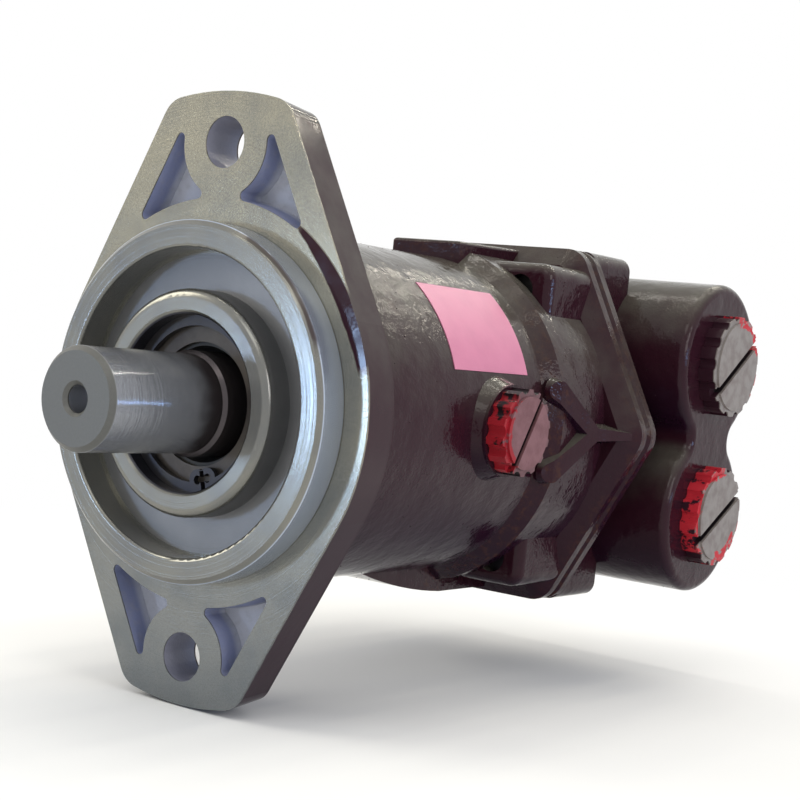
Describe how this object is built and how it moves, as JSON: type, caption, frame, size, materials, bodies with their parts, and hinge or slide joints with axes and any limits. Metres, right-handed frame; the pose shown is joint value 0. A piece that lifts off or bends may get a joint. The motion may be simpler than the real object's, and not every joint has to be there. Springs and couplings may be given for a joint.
{
  "type": "hydraulic motor",
  "caption": "Axial piston hydraulic motor with a two-bolt flange, straight shaft, side ports and a fixed cam plate inside.",
  "frame": {"origin": "centre of the flange's machined front face, on the shaft axis", "axes": "-Y along the shaft towards its tip, +Y towards the cover, +X the way the ports face, +Z along the line of the two flange bolts"},
  "size_m": [0.1439, 0.264, 0.174],
  "materials": {
    "cast_iron_painted": "gloss black paint over cast iron",
    "gasket_fibre": "matt",
    "screw_steel": "black oxide",
    "ground_steel": "ground",
    "bearing_steel": "polished",
    "seal_rubber": "matt",
    "spring_steel": "phosphated",
    "bronze": "machined",
    "block_steel": "machined",
    "red_plastic": "matt",
    "sticker_film": "satin"
  },
  "bodies": {
    "casing": {"housing": "cast_iron_painted", "end_cover": "cast_iron_painted", "joint_gasket": "gasket_fibre", "cover_screws": "screw_steel", "locating_dowels": "ground_steel", "shaft_seal_case": "spring_steel", "shaft_seal_lip": "seal_rubber", "seal_garter_spring": "spring_steel", "seal_retaining_ring": "spring_steel", "front_bearing_outer_race": "bearing_steel", "bearing_retaining_ring": "spring_steel", "cam_plate": "block_steel", "cam_plate_pin": "ground_steel", "valve_plate": "bronze", "valve_plate_pin": "ground_steel", "rear_bearing_cup": "bearing_steel", "upper_port_plug": "red_plastic", "lower_port_plug": "red_plastic", "drain_plug": "red_plastic", "port_plug_seals": "seal_rubber", "drain_plug_seal": "seal_rubber", "sticker": "sticker_film"},
    "rotating_group": {"drive_shaft": "ground_steel", "front_bearing_inner_race": "bearing_steel", "retainer_guide": "ground_steel", "push_pins": "ground_steel", "cylinder_block": "block_steel", "pistons": "ground_steel", "block_spring": "spring_steel", "spring_front_washer": "spring_steel", "spring_rear_washer": "spring_steel", "spring_snap_ring": "spring_steel"},
    "slipper_set": {"slippers": "bronze", "slipper_retainer": "block_steel"},
    "ball_set": {"front_bearing_balls": "bearing_steel", "front_bearing_cage": "spring_steel"},
    "needle_set": {"rear_bearing_needles": "bearing_steel", "rear_bearing_cage": "spring_steel"}
  },
  "joints": [
    {"name": "shaft_spin", "type": "hinge", "parent": "casing", "child": "rotating_group", "pos_m": [0, 0, 0], "axis": [0, 1, 0], "continuous": true},
    {"name": "slipper_spin", "type": "hinge", "parent": "casing", "child": "slipper_set", "pos_m": [0, 0.06632, 0], "axis": [-0.2756, 0.9613, 0], "continuous": true},
    {"name": "ball_set_spin", "type": "hinge", "parent": "casing", "child": "ball_set", "pos_m": [0, 0.0205, 0], "axis": [0, 1, 0], "continuous": true},
    {"name": "needle_set_spin", "type": "hinge", "parent": "casing", "child": "needle_set", "pos_m": [0, 0.1535, 0], "axis": [0, 1, 0], "continuous": true}
  ],
  "couplings": [
    {"joint": "slipper_spin", "follows": "shaft_spin", "ratio": 1},
    {"joint": "ball_set_spin", "follows": "shaft_spin", "ratio": 0.39626},
    {"joint": "needle_set_spin", "follows": "shaft_spin", "ratio": 0.45257}
  ]
}
